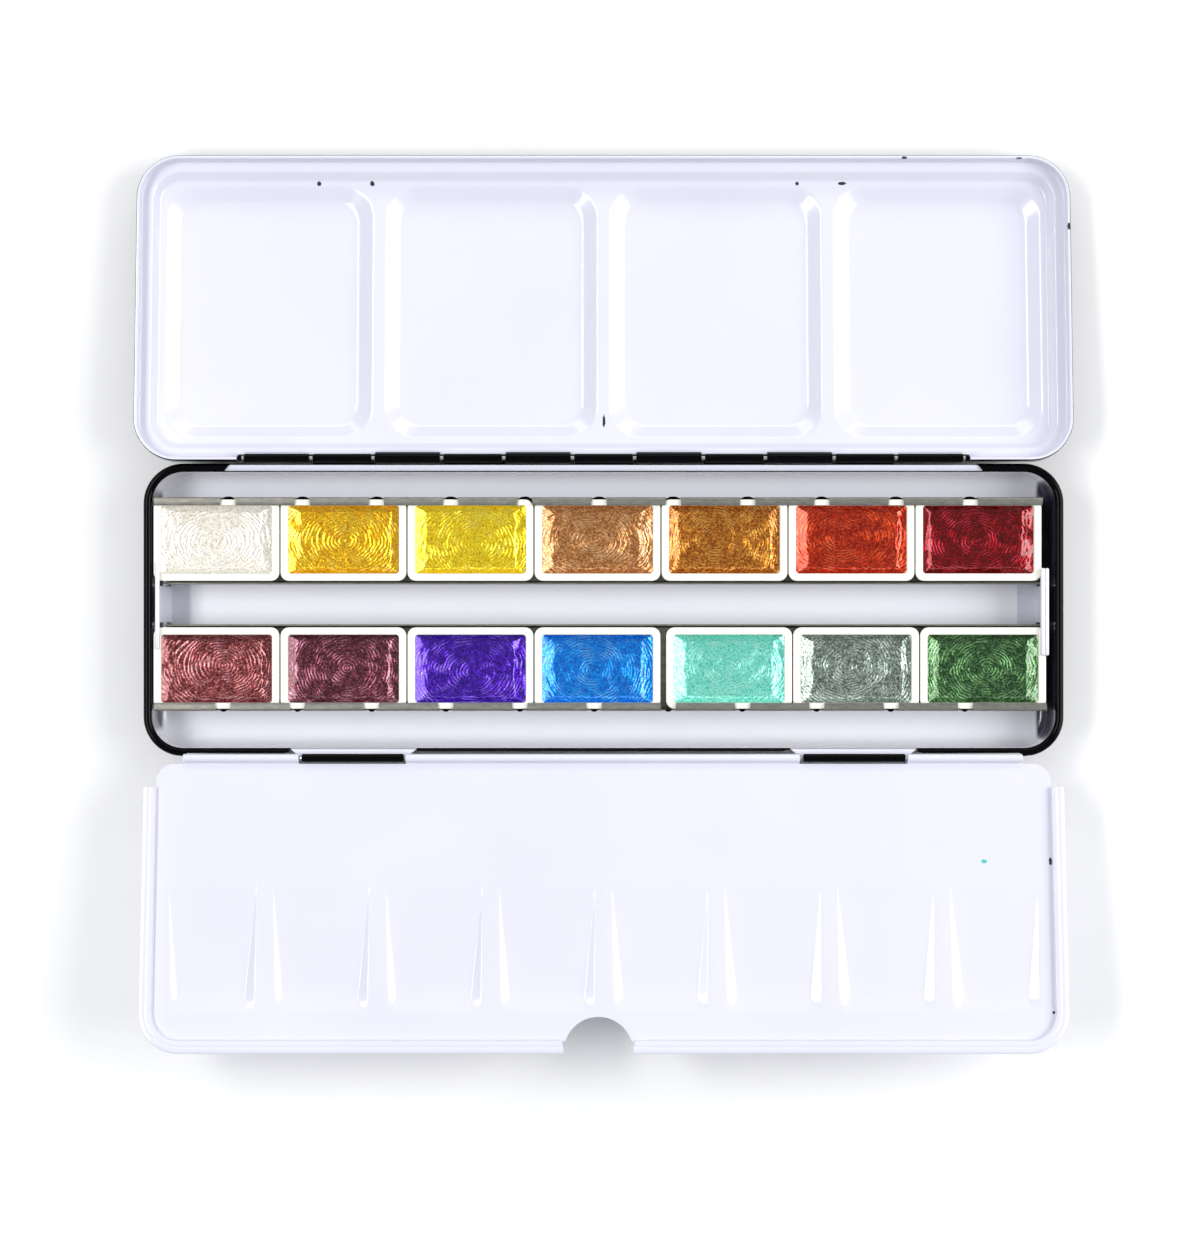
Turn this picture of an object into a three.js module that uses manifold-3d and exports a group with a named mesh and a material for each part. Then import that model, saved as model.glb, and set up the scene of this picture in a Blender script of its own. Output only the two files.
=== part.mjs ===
// A slim enamelled watercolour tin, opened flat: base tin, hinged mixing lid, hinged palette leaf,
// and a lift-out tinplate tray that clips fourteen full pans of paint in two rows.
// Millimetres, +Z up. X runs along the tin, +Y towards the lid hinge.
// The origin is the centre of the base tin's underside.
import * as THREE from 'three';
import { ConvexGeometry } from 'three/addons/geometries/ConvexGeometry.js';
import { mergeVertices } from 'three/addons/utils/BufferGeometryUtils.js';
import Module from 'manifold-3d';

const wasm = await Module();
wasm.setup();

// ---------------------------------------------------------------- driving dimensions
const SHEET = 0.5;            // enamelled tinplate
const TRAY_SHEET = 0.4;       // bare tinplate of the pan tray
const GAP = 0.3;              // running gap between neighbouring pieces
const CORNER_STEPS = 6;       // segments in each rounded corner of the tin
const PAN_CORNER_STEPS = 3;   // and of a pan
const ROUND_SIDES = 14;       // sides of a knuckle
const PIN_SIDES = 10;         // sides of a hinge pin
const HINGE_TAB = 0.4;        // thickness of the strips that curl into knuckles
const BITE = 0.1;             // how far two shapes sink into each other where they join
const CLEAR = 1;              // how far a cutting shape runs past what it cuts

const BASE = { halfX: 110, halfY: 35, radius: 9.5, height: 12.8, bead: 2.0 };
const FRONT_HEM_HALF = 101;    // ahead of the leaf's hinge the rim narrows to a hem this far out
const FRONT_HEM_GAP = 0.05;    // how far the hem's edge stands behind the leaf's barrels

// the lid's hinge, along the back
const LID_AXIS = { y: 36.25, z: 12.95 };
const LID_KNUCKLE_PITCH = 31.2;
const LID_KNUCKLE = { count: 6, length: 15.6, radius: 1.3 };
const BACK_KNUCKLE = { length: 14.0, radius: 1.05 };
const LID_PIN_RADIUS = 0.45;
const BACK_SHELF_HALF = 90;
const LID_HINGE_HALF = 87.5;

// the leaf's hinge, along the front
const LEAF_AXIS = { y: -35.3, z: 13.9 };
const FRONT_KNUCKLE = { x: 59.75, length: 24.3, radius: 1.15 };
const LEAF_BARREL_RADIUS = 1.0;
const LEAF_BARRELS = [[-100.2, -72.6], [-47.2, 46.8], [72.4, 99.8]];
const LEAF_PIN_RADIUS = 0.35;

// the lid, as it lies when shut: heights of the faces that look down
const LID = { halfX: 112.25, back: 36.9, front: -37.2, radius: 10.2, edge: 12.0 };
const LID_SHOULDER_Z = LID.edge + 3.4;
const LID_LEDGE_Z = LID.edge + 5.8;
const LID_FLOOR_Z = LID.edge + 8.2;
const LID_SHOULDER = 3.0;      // width of the shoulder that takes the leaf's rolled edge
const LID_WALL = 1.7;          // width of the sloping wall inside the shoulder
const WELL_SHEET = 0.4;        // a well's walls, stretched a little thinner than its floor
const LID_WELL = { pitch: 54.3, halfX: 22.5, slopeX: 3.5, slopeY: 2.4, radius: 5.5 };

// the leaf, flat: u is the distance in front of its hinge axis, v the height above it
const LEAF_RISE = THREE.MathUtils.degToRad(7);
const LEAF = { halfX: 109.6, length: 69.6, radius: 9.6, top: -0.6, lip: 0.8, flange: 3.1 };
const LEAF_HINGE_EDGE = 1.9;
const LEAF_FLANGE_START = 7.0;
const LEAF_SHEET = 0.4;
const LEAF_ROLL = 0.9;         // height of the rolled flange's inner hollow over the sheet
const LEAF_HINGE_CORNER = 4.2;
const LEAF_WELL = { pitch: 26.75, ridge: 4.0, crease: 30.1, deep: 58.3, end: 59.8, depth: 2.5,
  side: 2.6, endX: 103 };
const LEAF_NOTCH = { x: -1.2, radius: 8.2, centre: 0.4 };
const NOTCH_SIDES = 28;

// pans and the tray that holds them
const PAN = { width: 30.1, depth: 19.3, height: 10.2, rim: 1.75, taper: 0.85, draft: 0.9, floor: 1.3 };
const PAN_PITCH = 30.4;
const PAN_FIRST_X = -107.7;
const PAN_BOTTOM_Z = 1.45;
const PAN_TOP_Z = PAN_BOTTOM_Z + PAN.height;
const ROW_GAP_AFTER = { rear: [], front: [4] };    // a wider gap follows these pans
const WIDE_GAP = 1.1;
const PAINT = { below: 1.1, dip: 1.5, meniscus: 2.2, edge: 0.4, centreDip: 0.3, corner: 1.2 };
const TRAY_Z = 0.8;
const RAIL_START_X = -107.4;
const RAIL_WIDTH = 1.95;
const RAIL_LIFT = 0.25;        // a rail's underside over the pans' rims
const RAIL_NOTCH = { pitch: 17.75, width: 3.8, depth: 1.45, taper: 0.5, count: 11 };
const ROWS = {
  rear: { side: 1, inner: 6.95, railEnd: 104.9, firstNotch: -89.8 },
  front: { side: -1, inner: -4.15, railEnd: 105.9, firstNotch: -91.0 },
};
const INNER_WALL_TOP = 9.0;
const TRAY_END = 105.3;
const GRIPS = {
  left: { x: -107.1, thickness: 1.3, back: 11.3, front: -9.4, neck: [-106.0, -105.6] },
  right: { x: 104.5, thickness: 1.9, back: 10.0, front: -10.9, neck: [105.6, 106.0] },
};
const GRIP_NECK_INSET = 1.1;
const GRIP_TOP = 12.95;         // clear of the leaf's rolled edge when the leaf is shut
const BRIDGE_WIDTH = 4.5;

const BLACK = { color: 0x0b0b0d, roughness: 0.25, metalness: 0.0 };
const ENAMEL = { color: 0xf0f0fa, roughness: 0.2, metalness: 0.0 };
const WIRE = { color: 0xc9c9c6, roughness: 0.3, metalness: 1.0 };
const TINPLATE = { color: 0xa9a89d, roughness: 0.35, metalness: 1.0 };
const PAN_WHITE = { color: 0xfbfbef, roughness: 0.4, metalness: 0.0 };
const PAINTS = {
  rear: [0xe6e2d8, 0xd2a014, 0xd7be19, 0xa06941, 0xa56919, 0xa53219, 0x820a14],
  front: [0x873741, 0x693246, 0x4b1eaa, 0x1982d7, 0x73d2b4, 0x6e8278, 0x326e3c],
};

// ---------------------------------------------------------------- shapes
/** Points round a rounded rectangle, anticlockwise from above, at height z. */
function roundedLoop(halfX, halfY, radius, z, centreX = 0, centreY = 0, steps = CORNER_STEPS) {
  const r = Math.min(radius, halfX, halfY);
  const points = [];
  for (let corner = 0; corner < 4; corner++) {
    const start = corner * Math.PI / 2;
    const sideX = corner === 0 || corner === 3 ? 1 : -1;
    const sideY = corner < 2 ? 1 : -1;
    for (let step = 0; step <= steps; step++) {
      const angle = start + step / steps * Math.PI / 2;
      points.push(new THREE.Vector3(
        centreX + sideX * (halfX - r) + r * Math.cos(angle),
        centreY + sideY * (halfY - r) + r * Math.sin(angle),
        z,
      ));
    }
  }
  return points;
}

/** A closed body skinned over loops of equal count, with its two ends capped flat. */
function loft(loops) {
  const count = loops[0].length;
  const positions = loops.flat().flatMap((p) => [p.x, p.y, p.z]);
  const faces = [];
  for (let row = 0; row < loops.length - 1; row++) {
    for (let i = 0; i < count; i++) {
      const next = (i + 1) % count;
      const [a, b] = [row * count + i, row * count + next];
      faces.push(a, b, b + count, a, b + count, a + count);
    }
  }
  const last = (loops.length - 1) * count;
  for (let i = 1; i < count - 1; i++) {
    faces.push(0, i + 1, i);
    faces.push(last, last + i, last + i + 1);
  }
  const geometry = new THREE.BufferGeometry();
  geometry.setAttribute('position', new THREE.Float32BufferAttribute(positions, 3));
  geometry.setIndex(faces);
  return geometry;
}

/** A three.js geometry as a manifold solid. */
function solid(geometry) {
  const bare = geometry.clone();
  bare.deleteAttribute('normal');
  bare.deleteAttribute('uv');
  const merged = mergeVertices(bare, 1e-5);
  return new wasm.Manifold(new wasm.Mesh({
    numProp: 3,
    vertProperties: new Float32Array(merged.attributes.position.array),
    triVerts: new Uint32Array(merged.index.array),
  }));
}

/** A box from its lowest to its highest corner. */
function block(low, high) {
  const size = high.map((value, axis) => value - low[axis]);
  const geometry = new THREE.BoxGeometry(...size);
  geometry.translate(...low.map((value, axis) => value + size[axis] / 2));
  return solid(geometry);
}

/** A round bar along X. */
function bar(radius, fromX, toX, y, z, sides = ROUND_SIDES) {
  const geometry = new THREE.CylinderGeometry(radius, radius, toX - fromX, sides);
  geometry.rotateZ(-Math.PI / 2);
  geometry.translate((fromX + toX) / 2, y, z);
  return solid(geometry);
}

const join = (solids) => solids.reduce((whole, next) => whole.add(next));

/** A manifold solid as a named three.js mesh. */
function meshOf(name, shape, finish) {
  const { vertProperties, triVerts } = shape.getMesh();
  const geometry = new THREE.BufferGeometry();
  geometry.setAttribute('position', new THREE.Float32BufferAttribute(vertProperties, 3));
  geometry.setIndex(new THREE.Uint32BufferAttribute(triVerts, 1));
  geometry.computeVertexNormals();
  const mesh = new THREE.Mesh(geometry, new THREE.MeshStandardMaterial(finish));
  mesh.name = name;
  return mesh;
}

// ---------------------------------------------------------------- base tin
const lidKnuckleXs = Array.from({ length: LID_KNUCKLE.count },
  (_, i) => (i - (LID_KNUCKLE.count - 1) / 2) * LID_KNUCKLE_PITCH);
const backKnuckleXs = lidKnuckleXs.slice(1).map((x) => x - LID_KNUCKLE_PITCH / 2);

/** A knuckle tube on the hinge axis, joined to its sheet by extra blocks, and bored for the pin. */
function knuckle({ x, length, radius, axis, pin, webs = [] }) {
  const [from, to] = [x - length / 2, x + length / 2];
  const body = join([bar(radius, from, to, axis.y, axis.z), ...webs.map(([low, high]) =>
    block([from, ...low], [to, ...high]))]);
  return body.subtract(bar(pin + GAP, from - CLEAR, to + CLEAR, axis.y, axis.z));
}

function baseTin() {
  const { halfX, halfY, radius, height, bead } = BASE;
  const beadFoot = height - bead;
  const shell = [
    [4.4, 0], [2.4, 0.7], [1.5, 2.4], [1.5, beadFoot], [0.3, beadFoot], [0, beadFoot + 0.4],
    [0, height - 0.4], [0.4, height], [bead - 0.3, height], [bead, height - 0.3], [bead, 2.5],
    [2.8, 1.1], [4.6, SHEET],
  ].map(([inset, z]) => roundedLoop(halfX - inset, halfY - inset, Math.max(radius - inset, 2), z));
  let tin = solid(loft(shell));

  // behind the lid's hinge the rim is only a flat shelf, and ahead of the leaf's a narrow hem
  const shelfZ = LID_AXIS.z - BACK_KNUCKLE.radius;
  const shelfEdge = LID_AXIS.y - LID_KNUCKLE.radius - GAP;
  const innerFace = halfY - bead;
  tin = tin.subtract(block([-BACK_SHELF_HALF, innerFace + SHEET, beadFoot - CLEAR],
    [BACK_SHELF_HALF, halfY + CLEAR, height + CLEAR]));
  tin = tin.subtract(block([-BACK_SHELF_HALF, innerFace - CLEAR, shelfZ + HINGE_TAB],
    [BACK_SHELF_HALF, halfY + CLEAR, height + CLEAR]));
  tin = tin.add(block([-BACK_SHELF_HALF, innerFace + BITE, shelfZ],
    [BACK_SHELF_HALF, shelfEdge, shelfZ + HINGE_TAB]));
  const hemEdge = LEAF_AXIS.y + LEAF_BARREL_RADIUS + FRONT_HEM_GAP;
  tin = tin.subtract(block([-FRONT_HEM_HALF, -halfY - CLEAR, beadFoot - SHEET],
    [FRONT_HEM_HALF, hemEdge, height + CLEAR]));

  const backKnuckles = backKnuckleXs.map((x) => knuckle({
    x, ...BACK_KNUCKLE, axis: LID_AXIS, pin: LID_PIN_RADIUS,
    webs: [[[innerFace + BITE, shelfZ], [LID_AXIS.y, shelfZ + HINGE_TAB]]],
  }));
  const frontShelf = LEAF_AXIS.z - FRONT_KNUCKLE.radius;
  const frontKnuckles = [-1, 1].map((side) => knuckle({
    ...FRONT_KNUCKLE, x: side * FRONT_KNUCKLE.x, axis: LEAF_AXIS, pin: LEAF_PIN_RADIUS,
    webs: [[[LEAF_AXIS.y, frontShelf - BITE], [-innerFace, frontShelf + HINGE_TAB - BITE]]],
  }));
  return meshOf('base_tin', join([tin, ...backKnuckles, ...frontKnuckles]), BLACK);
}

const lidPin = meshOf('lid_hinge_pin',
  bar(LID_PIN_RADIUS, -LID_HINGE_HALF + GAP, LID_HINGE_HALF - GAP, LID_AXIS.y, LID_AXIS.z, PIN_SIDES), WIRE);
const leafPin = meshOf('leaf_hinge_pin',
  bar(LEAF_PIN_RADIUS, LEAF_BARRELS[0][0], LEAF_BARRELS[2][1], LEAF_AXIS.y, LEAF_AXIS.z, PIN_SIDES), WIRE);

// ---------------------------------------------------------------- lid
/** The lid as it lies shut, its hollow looking down. */
function lidShut() {
  const centreY = (LID.back + LID.front) / 2;
  const halfY = (LID.back - LID.front) / 2;
  const inset = ([amount, z]) => roundedLoop(LID.halfX - amount, halfY - amount,
    Math.max(LID.radius - amount, 4), z, 0, centreY);
  const shoulder = SHEET + LID_SHOULDER;
  const ledge = shoulder + LID_WALL;
  const outer = solid(loft([
    [0, LID.edge], [0, LID_SHOULDER_Z + 0.2], [0.3, LID_SHOULDER_Z + SHEET],
    [shoulder - 0.3, LID_SHOULDER_Z + SHEET], [ledge - 0.4, LID_LEDGE_Z + SHEET],
  ].map(inset)));
  const inner = solid(loft([
    [SHEET, LID.edge - CLEAR], [SHEET, LID_SHOULDER_Z], [shoulder, LID_SHOULDER_Z],
    [ledge, LID_LEDGE_Z],
  ].map(inset)));
  const floorHalfY = halfY - ledge - LID_WELL.slopeY;
  const well = (centreX, grow, lift) => solid(loft([
    [1, LID_LEDGE_Z - 0.3], [0.62, LID_LEDGE_Z + 0.9], [0.2, LID_FLOOR_Z - 0.35], [0, LID_FLOOR_Z],
  ].map(([spread, z]) => roundedLoop(
    LID_WELL.halfX + LID_WELL.slopeX * spread + grow, floorHalfY + LID_WELL.slopeY * spread + grow,
    LID_WELL.radius + 2 * spread, z + lift, centreX, centreY))));
  const wellXs = [-1.5, -0.5, 0.5, 1.5].map((step) => step * LID_WELL.pitch);
  const skin = join([outer, ...wellXs.map((x) => well(x, WELL_SHEET, SHEET))]);
  const hollow = join([inner, ...wellXs.map((x) => well(x, 0, 0))]);

  // the skirt and half the shoulder are cut away along the hinge, and knuckles curl from the rest
  const riserY = LID_AXIS.y - LID_KNUCKLE.radius - BITE;
  let lid = skin.subtract(hollow).subtract(block(
    [-LID_HINGE_HALF, riserY + HINGE_TAB, LID.edge - CLEAR],
    [LID_HINGE_HALF, LID.back + CLEAR, LID_SHOULDER_Z + SHEET + BITE]));
  const tangent = LID_AXIS.z + LID_KNUCKLE.radius;
  const knuckles = lidKnuckleXs.map((x) => knuckle({
    x, ...LID_KNUCKLE, axis: LID_AXIS, pin: LID_PIN_RADIUS,
    webs: [
      [[riserY, tangent - HINGE_TAB], [LID_AXIS.y, tangent]],
      [[riserY, tangent - HINGE_TAB], [riserY + HINGE_TAB, LID_SHOULDER_Z + BITE]],
    ],
  }));
  lid = join([lid, ...knuckles]);
  return meshOf('lid_shell', lid, BLACK);
}

/** How far the lid turns from shut until the far corner of its well floor meets the table. */
function lidOpening() {
  const reach = LID_AXIS.y - LID.front - SHEET - LID_SHOULDER - LID_WALL - LID_WELL.slopeY + SHEET;
  const below = LID_FLOOR_Z + SHEET - LID_AXIS.z;
  return Math.PI + Math.atan2(reach, below) - Math.acos(LID_AXIS.z / Math.hypot(reach, below));
}

/** A group that turns what is in it about a line along X. */
function turned(axis, angle, ...meshes) {
  const pivot = new THREE.Group();
  pivot.position.set(0, axis.y, axis.z);
  pivot.rotation.x = angle;
  meshes.forEach((mesh) => {
    mesh.position.set(0, -axis.y, -axis.z);
    pivot.add(mesh);
  });
  return pivot;
}

// ---------------------------------------------------------------- palette leaf
/** A ramped well: level at the crease, deepest just before its end wall. */
function rampWell(fromX, toX, grow, lift) {
  const y = (u) => LEAF_AXIS.y - u;
  const top = LEAF_AXIS.z + LEAF.top;
  const at = (x, u, v) => new THREE.Vector3(x, y(u), top + v + lift);
  const above = 0.6;
  const { crease, deep, end, depth, side } = LEAF_WELL;
  const [low, high] = [fromX - grow, toX + grow];
  return solid(new ConvexGeometry([
    at(low, crease - grow, above), at(high, crease - grow, above),
    at(low, end + grow, above), at(high, end + grow, above),
    at(low, crease - grow, 0), at(high, crease - grow, 0),
    at(low, end + grow, 0), at(high, end + grow, 0),
    at(low + side, deep, -depth), at(high - side, deep, -depth),
  ]));
}

function paletteLeaf() {
  const { halfX, length, radius, flange, lip } = LEAF;
  const top = LEAF_AXIS.z + LEAF.top;
  const frontY = LEAF_AXIS.y - length;
  const loop = (inset, z) => roundedLoop(halfX - inset, length - inset, Math.max(radius - inset, 3),
    z, 0, frontY + length);
  const rim = solid(loft([
    loop(flange - 0.2, top - LEAF_SHEET), loop(flange - LEAF_SHEET, top),
    loop(flange - SHEET, top + LEAF_ROLL),
    loop(0.5, top + LEAF_ROLL), loop(0.4, top + 0.4), loop(0, top + 0.4),
    loop(0, LEAF_AXIS.z + lip - 0.3), loop(0.4, LEAF_AXIS.z + lip), loop(flange - 0.3, LEAF_AXIS.z + lip),
    loop(flange, LEAF_AXIS.z + lip - 0.3), loop(flange, top + 0.3), loop(flange + 0.5, top),
  ])).subtract(block([-halfX - CLEAR, LEAF_AXIS.y - LEAF_FLANGE_START, top - CLEAR],
    [halfX + CLEAR, LEAF_AXIS.y + length + CLEAR, top + 3 * CLEAR]));
  const halfSheet = (length - LEAF_HINGE_EDGE - flange + 2 * BITE) / 2;
  const sheetY = LEAF_AXIS.y - LEAF_HINGE_EDGE - halfSheet;
  const sheet = solid(loft([top - LEAF_SHEET, top].map((z) =>
    roundedLoop(halfX - flange + BITE, halfSheet, LEAF_HINGE_CORNER, z, 0, sheetY))));

  const barrels = LEAF_BARRELS.map(([from, to]) => knuckle({
    x: (from + to) / 2, length: to - from, radius: LEAF_BARREL_RADIUS, axis: LEAF_AXIS,
    pin: LEAF_PIN_RADIUS,
    webs: [[[LEAF_AXIS.y - LEAF_HINGE_EDGE - 1, top - LEAF_SHEET], [LEAF_AXIS.y, top]]],
  }));
  const { pitch, ridge, endX } = LEAF_WELL;
  const spans = [-4, -3, -2, -1, 0, 1, 2, 3].map((step) => [
    step === -4 ? -endX : step * pitch + ridge / 2,
    step === 3 ? endX : (step + 1) * pitch - ridge / 2,
  ]);
  const cups = spans.map(([from, to]) => rampWell(from, to, LEAF_SHEET, -LEAF_SHEET));
  const hollows = spans.map(([from, to]) => rampWell(from, to, 0, 0));
  const notch = new THREE.CylinderGeometry(LEAF_NOTCH.radius, LEAF_NOTCH.radius, 20, NOTCH_SIDES);
  notch.rotateX(Math.PI / 2);
  notch.translate(LEAF_NOTCH.x, frontY + LEAF_NOTCH.centre, LEAF_AXIS.z);
  let leaf = join([sheet, rim, ...barrels]);
  const trimmed = join(cups).subtract(block([-halfX, frontY, top], [halfX, 0, top + 2 * CLEAR]));
  leaf = leaf.add(trimmed).subtract(join(hollows)).subtract(solid(notch));
  return meshOf('palette_leaf', leaf, ENAMEL);
}

// ---------------------------------------------------------------- tray and pans
/** The y of a line that lies a given way outwards from a row's inner edge. */
const across = (row, distance) => row.inner + row.side * distance;

/** A block between two distances across a row. */
function rowBlock(row, [fromX, toX], [near, far], [lowZ, highZ]) {
  const ys = [across(row, near), across(row, far)];
  return block([fromX, Math.min(...ys), lowZ], [toX, Math.max(...ys), highZ]);
}

function panTray() {
  const ends = [-TRAY_END, TRAY_END];
  const outerFace = PAN.depth + GAP;
  const channels = Object.values(ROWS).map((row) => join([
    rowBlock(row, ends, [-GAP - TRAY_SHEET, outerFace + TRAY_SHEET], [TRAY_Z, TRAY_Z + TRAY_SHEET]),
    rowBlock(row, ends, [outerFace, outerFace + TRAY_SHEET], [TRAY_Z, PAN_TOP_Z + RAIL_LIFT - GAP]),
    rowBlock(row, ends, [-GAP - TRAY_SHEET, -GAP], [TRAY_Z, INNER_WALL_TOP]),
  ]));
  const bridge = (fromX, toX) => block([fromX, ROWS.front.inner, TRAY_Z],
    [toX, ROWS.rear.inner, TRAY_Z + TRAY_SHEET]);
  return meshOf('pan_tray', join([...channels, bridge(ends[0], ends[0] + BRIDGE_WIDTH),
    bridge(ends[1] - BRIDGE_WIDTH, ends[1])]), TINPLATE);
}

/** The turned-in lip of one row: fingers over the pan rims, parted by narrow notches. */
function clipRail(name, row) {
  const outline = new THREE.Shape();
  const [startX, endX] = [RAIL_START_X, row.railEnd];
  outline.moveTo(startX, 0);
  for (let i = 0; i < RAIL_NOTCH.count; i++) {
    const x = row.firstNotch + i * RAIL_NOTCH.pitch;
    const half = RAIL_NOTCH.width / 2;
    outline.lineTo(x - half, 0);
    outline.lineTo(x - half + RAIL_NOTCH.taper, RAIL_NOTCH.depth);
    outline.lineTo(x + half - RAIL_NOTCH.taper, RAIL_NOTCH.depth);
    outline.lineTo(x + half, 0);
  }
  outline.lineTo(endX, 0);
  outline.lineTo(endX, RAIL_WIDTH);
  outline.lineTo(startX, RAIL_WIDTH);
  const geometry = new THREE.ExtrudeGeometry(outline, { depth: TRAY_SHEET, bevelEnabled: false });
  let rail = solid(geometry);
  if (row.side < 0) rail = rail.mirror([0, 1, 0]);
  const innerEdge = across(row, PAN.depth + GAP + TRAY_SHEET - RAIL_WIDTH);
  return meshOf(name, rail.translate([0, innerEdge, PAN_TOP_Z + RAIL_LIFT]), TINPLATE);
}

/** An end tongue: a neck between the rows that carries a hemmed bar over the pans' corners. */
function gripTab(name, { x, thickness, back, front, neck }) {
  const barFoot = PAN_TOP_Z + GAP;
  const [neckFrom, neckTo] = neck;
  const stem = block([neckFrom, ROWS.front.inner + GRIP_NECK_INSET, TRAY_Z + TRAY_SHEET + GAP],
    [neckTo, ROWS.rear.inner - GRIP_NECK_INSET, barFoot + BITE]);
  return meshOf(name, stem.add(block([x, front, barFoot], [x + thickness, back, GRIP_TOP])), TINPLATE);
}

/** An empty full pan with tapered walls, centred on its own foot. */
function panShape() {
  const { width, depth, height, rim, taper, draft, floor } = PAN;
  const loop = (inset, radius, z) => roundedLoop(width / 2 - inset, depth / 2 - inset, radius, z,
    0, 0, PAN_CORNER_STEPS);
  return solid(loft([
    loop(taper + 0.5, 1.5, 0), loop(taper, 1.8, 0.5), loop(0, 2.0, height - 0.3), loop(0.3, 1.8, height),
    loop(rim, 0.7, height), loop(rim + draft, 0.7, floor),
  ]));
}

/** A cake of paint with a dished top that climbs to the pan's walls. */
function paintShape() {
  const { width, depth, height, rim, draft, floor } = PAN;
  const wall = (z) => rim + draft * (height - z) / (height - floor) + GAP;
  const loop = (inset, z) => roundedLoop(width / 2 - inset, depth / 2 - inset, PAINT.corner, z,
    0, 0, PAN_CORNER_STEPS);
  const top = height - PAINT.below;
  return solid(loft([
    loop(wall(floor), floor + GAP), loop(wall(top), top),
    loop(wall(top) + PAINT.edge, top), loop(wall(top) + PAINT.meniscus, top - PAINT.dip),
    loop(wall(top) + 3 * PAINT.meniscus, top - PAINT.dip - PAINT.centreDip),
  ]));
}

function panRow(rowName) {
  const row = ROWS[rowName];
  const group = new THREE.Group();
  let x = PAN_FIRST_X + PAN.width / 2;
  PAINTS[rowName].forEach((colour, index) => {
    const pan = meshOf(`${rowName}_pan_${index + 1}`, panShape(), PAN_WHITE);
    const paint = meshOf(`${rowName}_paint_${index + 1}`, paintShape(),
      { color: colour, roughness: 0.4, metalness: 0.5 });
    [pan, paint].forEach((mesh) => {
      mesh.position.set(x, across(row, PAN.depth / 2), PAN_BOTTOM_Z);
      group.add(mesh);
    });
    x += PAN_PITCH + (ROW_GAP_AFTER[rowName].includes(index + 1) ? WIDE_GAP : 0);
  });
  return group;
}

// ---------------------------------------------------------------- the whole set
const panSet = new THREE.Group();
panSet.add(baseTin(), lidPin, leafPin, panTray(), panRow('rear'), panRow('front'));
panSet.add(clipRail('rear_clip_rail', ROWS.rear), clipRail('front_clip_rail', ROWS.front));
panSet.add(gripTab('left_grip_tab', GRIPS.left), gripTab('right_grip_tab', GRIPS.right));
panSet.add(turned(LID_AXIS, -lidOpening(), lidShut()));
panSet.add(turned(LEAF_AXIS, -LEAF_RISE, paletteLeaf()));

export default panSet;
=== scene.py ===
"""Looks of a watercolour pan set, opened flat: enamelled tin, mixing lid, palette leaf, clip tray and pans.

Shapes are written in millimetres and scaled to metres when their meshes are made. X runs along the tin,
+Y points at the lid's hinge, and the lid is drawn shut and then swung open.
"""
import math
import random

import bmesh
import bpy
from mathutils import Matrix, Vector, noise
from mathutils.geometry import tessellate_polygon


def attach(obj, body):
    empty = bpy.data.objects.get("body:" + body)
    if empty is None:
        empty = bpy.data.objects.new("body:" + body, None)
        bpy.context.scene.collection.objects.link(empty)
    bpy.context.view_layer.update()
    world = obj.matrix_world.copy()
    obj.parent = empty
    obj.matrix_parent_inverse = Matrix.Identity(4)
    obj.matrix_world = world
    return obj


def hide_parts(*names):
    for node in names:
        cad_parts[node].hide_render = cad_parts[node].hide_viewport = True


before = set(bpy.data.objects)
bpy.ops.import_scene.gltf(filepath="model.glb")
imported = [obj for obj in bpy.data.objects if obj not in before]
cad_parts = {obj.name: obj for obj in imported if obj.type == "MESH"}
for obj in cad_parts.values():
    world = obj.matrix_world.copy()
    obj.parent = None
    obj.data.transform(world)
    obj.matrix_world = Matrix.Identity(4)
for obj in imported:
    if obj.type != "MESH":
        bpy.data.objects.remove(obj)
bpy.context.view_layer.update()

MM = 0.001
UP = Vector((0, 0, 1))

# ------------------ sizes, in millimetres
# hinges: axes as (y, z), how far the lid is swung from shut, and how far the leaf is tilted from level
LID_AXIS = (36.25, 12.95)
LEAF_AXIS = (-35.3, 13.9)
LID_OPENING = math.radians(184.516)
LEAF_RISE = math.radians(7)
KNUCKLE_PITCH = 31.2
LID_KNUCKLE_XS = [(i - 2.5) * KNUCKLE_PITCH for i in range(6)]
BACK_KNUCKLE_XS = [(i - 2) * KNUCKLE_PITCH for i in range(5)]
FRONT_KNUCKLE_X, FRONT_KNUCKLE_HALF = 59.75, 12.15
LEAF_BARRELS = [(-100.2, -72.6), (-47.2, 46.8), (72.4, 99.8)]

# base tin
BASE = {"half_x": 110, "half_y": 35, "radius": 9.5}
RIM_RADIUS = 1
SHELF_END = 90.0        # half the shelf's length, and where the rim starts
FRONT_TAB_HALF = 14.6
HEM_START, HEM_RUN, HEM_END = -100.45, 0.9, -75.0      # the rim narrows to a hem over HEM_RUN
HEM_XS = (HEM_START, -100.2, -99.9, -99.5, -90, -80, -76.5, HEM_END)
MIDDLE_HEM_XS = (-44.6, -43.6, -20, 0, 20, 42.4, 43.4)

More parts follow.
